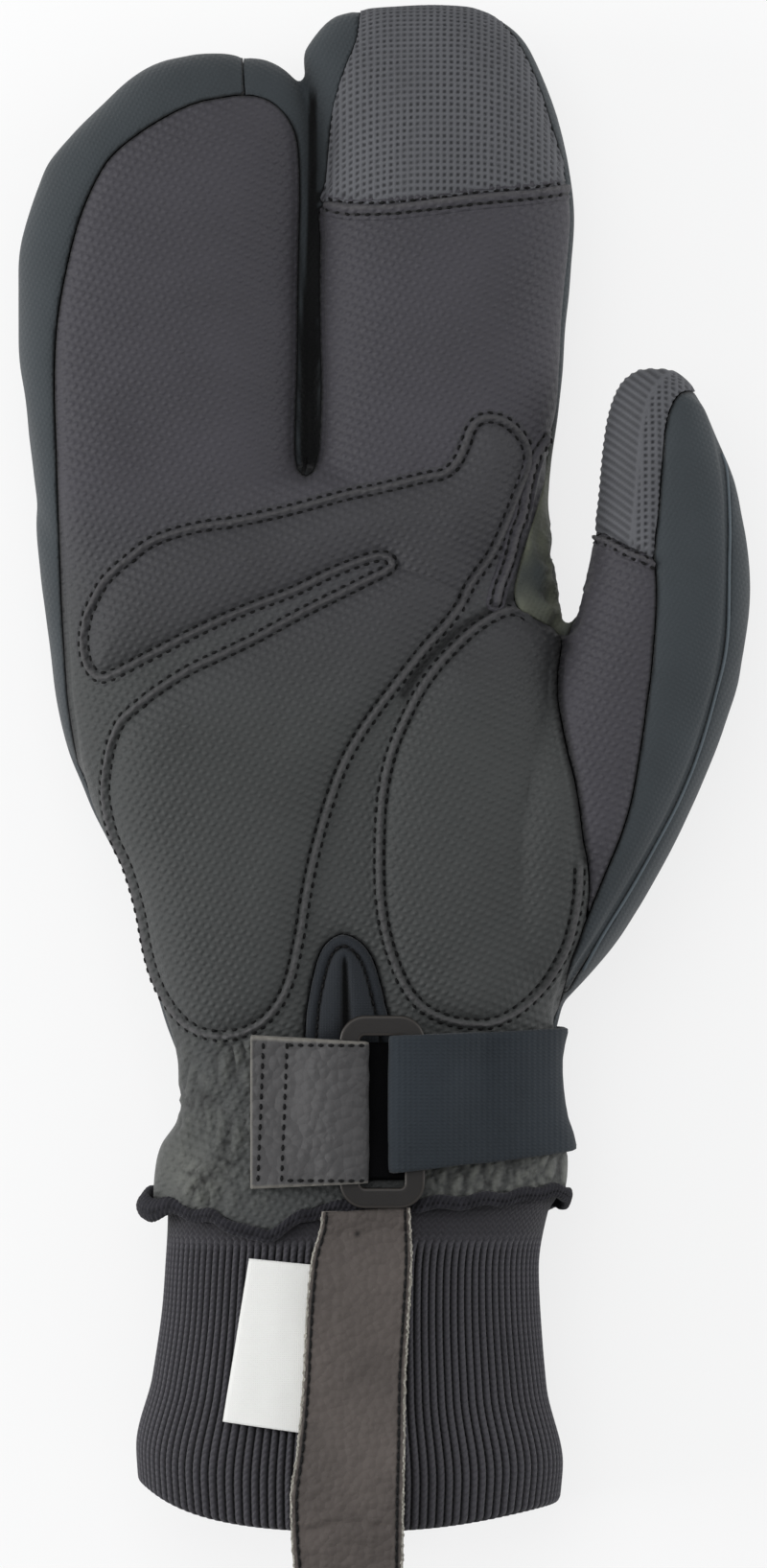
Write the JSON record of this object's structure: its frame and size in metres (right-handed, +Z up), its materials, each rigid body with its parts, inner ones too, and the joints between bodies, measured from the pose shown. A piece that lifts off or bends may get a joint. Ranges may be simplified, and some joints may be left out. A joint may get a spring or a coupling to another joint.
{
  "type": "lobster claw mitt",
  "caption": "Insulated winter riding mitt with split finger pockets, gel-padded palm, wrist strap and ribbed knit cuff, lying palm up.",
  "frame": {"origin": "middle of the bounding box in X and Y, on the surface that the back of the mitt lies on", "axes": "+Y towards the fingertips, +X towards the thumb, +Z up out of the palm"},
  "size_m": [0.1434, 0.31, 0.0536],
  "materials": {
    "softshell": "matte bonded softshell",
    "leather": "fine grained, soft sheen",
    "pad_leather": "fine grained, padded",
    "grip": "small raised grid",
    "stretch": "matte stretch knit",
    "ring_metal": "dark enamel, worn edges",
    "elastic": "woven elastic",
    "knit": "ribbed wool knit",
    "strap_leather": "suede face, raw edges",
    "label_cloth": "white satin woven tape"
  },
  "bodies": {
    "root": {"back_shell": "softshell", "thumb_side_panel": "softshell", "palm_panel": "leather", "thumb_palm_panel": "leather", "strap_tab": "leather", "cuff_binding": "leather", "fingertip_patch": "grip", "thumb_patch": "grip", "slit_gusset": "stretch", "wrist_gusset": "stretch", "palm_pad": "pad_leather", "thenar_pad": "pad_leather", "strap_ring": "ring_metal", "strap_elastic": "elastic", "knit_cuff": "knit", "pull_strap": "strap_leather", "side_label": "label_cloth"}
  },
  "joints": []
}
